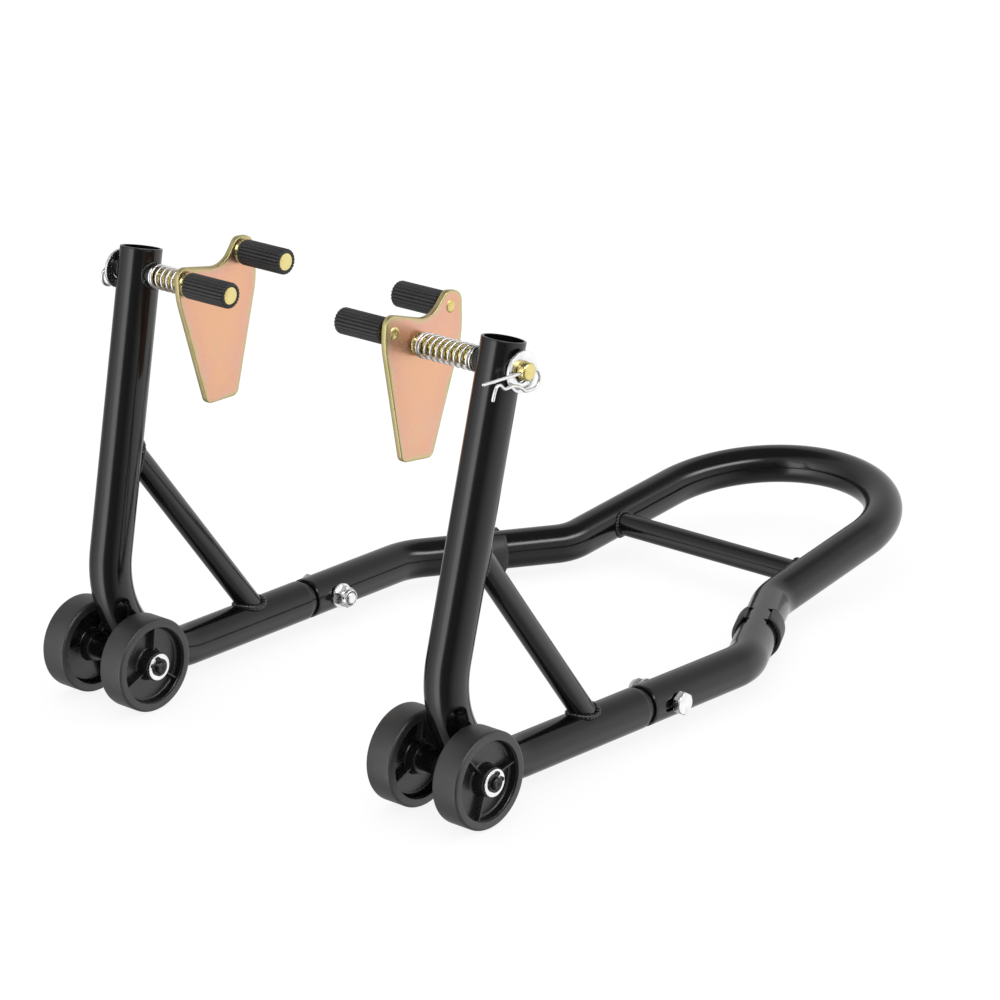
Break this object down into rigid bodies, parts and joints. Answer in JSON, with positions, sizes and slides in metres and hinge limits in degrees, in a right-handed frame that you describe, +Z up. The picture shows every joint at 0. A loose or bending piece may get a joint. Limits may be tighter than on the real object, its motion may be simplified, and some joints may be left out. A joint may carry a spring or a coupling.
{
  "type": "paddock stand",
  "caption": "Front motorcycle paddock stand: bent tubular frame on twin wheels, looped handle, two spring-loaded swivelling fork plates with rubber-sleeved pins.",
  "frame": {"origin": "on the floor, at the middle of the stand's width and of its length", "axes": "+Z up, +Y from the wheels towards the handle loop, +X to the right when looking along +Y"},
  "size_m": [0.4664, 0.7684, 0.3808],
  "materials": {
    "black_paint": "gloss",
    "bright_zinc": "bright zinc plating",
    "black_steel": "black oxide",
    "yellow_zinc": "yellow passivated zinc plating",
    "grip_rubber": "matte ribbed",
    "foot_rubber": "satin",
    "tread_rubber": "matte",
    "wheel_plastic": "semi-gloss moulded",
    "bush_plastic": "satin"
  },
  "bodies": {
    "root": {"side_tube_l": "black_paint", "side_tube_r": "black_paint", "brace_tube_l": "black_paint", "brace_tube_r": "black_paint", "handle_bar": "black_paint", "cross_tube": "black_paint", "joint_spigot_l": "black_paint", "joint_spigot_r": "black_paint", "pivot_bush_l": "black_paint", "pivot_bush_r": "black_paint", "joint_bolt_l": "bright_zinc", "joint_bolt_r": "bright_zinc", "joint_nut_l": "bright_zinc", "joint_nut_r": "bright_zinc", "joint_washer_l": "bright_zinc", "joint_washer_r": "bright_zinc", "foot_pad_l": "foot_rubber", "foot_pad_r": "foot_rubber", "axle_l": "black_steel", "axle_r": "black_steel", "circlips_l": "black_steel", "circlips_r": "black_steel", "axle_washers_l": "bright_zinc", "axle_washers_r": "bright_zinc", "axle_sleeve_l": "black_paint", "axle_sleeve_r": "black_paint", "rod_spring_l": "bright_zinc", "rod_spring_r": "bright_zinc"},
    "wheel_outer_l": {"tyre_outer_l": "tread_rubber", "wheel_hub_outer_l": "wheel_plastic", "wheel_bush_outer_l": "bush_plastic"},
    "wheel_inner_l": {"tyre_inner_l": "tread_rubber", "wheel_hub_inner_l": "wheel_plastic", "wheel_bush_inner_l": "bush_plastic"},
    "wheel_outer_r": {"tyre_outer_r": "tread_rubber", "wheel_hub_outer_r": "wheel_plastic", "wheel_bush_outer_r": "bush_plastic"},
    "wheel_inner_r": {"tyre_inner_r": "tread_rubber", "wheel_hub_inner_r": "wheel_plastic", "wheel_bush_inner_r": "bush_plastic"},
    "rod_carrier_l": {"rod_washer_l": "bright_zinc"},
    "fork_head_l": {"pivot_rod_l": "yellow_zinc", "fork_plate_l": "yellow_zinc", "fork_pins_l": "yellow_zinc", "grip_front_l": "grip_rubber", "grip_rear_l": "grip_rubber", "r_clip_l": "bright_zinc"},
    "rod_carrier_r": {"rod_washer_r": "bright_zinc"},
    "fork_head_r": {"pivot_rod_r": "yellow_zinc", "fork_plate_r": "yellow_zinc", "fork_pins_r": "yellow_zinc", "grip_front_r": "grip_rubber", "grip_rear_r": "grip_rubber", "r_clip_r": "bright_zinc"}
  },
  "joints": [
    {"name": "wheel_spin_outer_l", "type": "hinge", "parent": "root", "child": "wheel_outer_l", "pos_m": [-0.17925, -0.34571, 0.0385], "axis": [1, 0, 0], "continuous": true},
    {"name": "wheel_spin_inner_l", "type": "hinge", "parent": "root", "child": "wheel_inner_l", "pos_m": [-0.17925, -0.34571, 0.0385], "axis": [1, 0, 0], "continuous": true},
    {"name": "wheel_spin_outer_r", "type": "hinge", "parent": "root", "child": "wheel_outer_r", "pos_m": [0.17925, -0.34571, 0.0385], "axis": [1, 0, 0], "continuous": true},
    {"name": "wheel_spin_inner_r", "type": "hinge", "parent": "root", "child": "wheel_inner_r", "pos_m": [0.17925, -0.34571, 0.0385], "axis": [1, 0, 0], "continuous": true},
    {"name": "head_slide_l", "type": "slide", "parent": "root", "child": "rod_carrier_l", "axis": [-1, 0, 0], "range_m": [0, 0.028], "stiffness_N_per_m": 900, "springref_m": -0.004, "deforming": ["rod_spring_l"]},
    {"name": "head_turn_l", "type": "hinge", "parent": "rod_carrier_l", "child": "fork_head_l", "pos_m": [-0.19096, -0.29772, 0.3433], "axis": [-1, 0, 0], "continuous": true},
    {"name": "head_slide_r", "type": "slide", "parent": "root", "child": "rod_carrier_r", "axis": [1, 0, 0], "range_m": [0, 0.028], "stiffness_N_per_m": 900, "springref_m": -0.004, "deforming": ["rod_spring_r"]},
    {"name": "head_turn_r", "type": "hinge", "parent": "rod_carrier_r", "child": "fork_head_r", "pos_m": [0.19096, -0.29772, 0.3433], "axis": [1, 0, 0], "continuous": true}
  ]
}
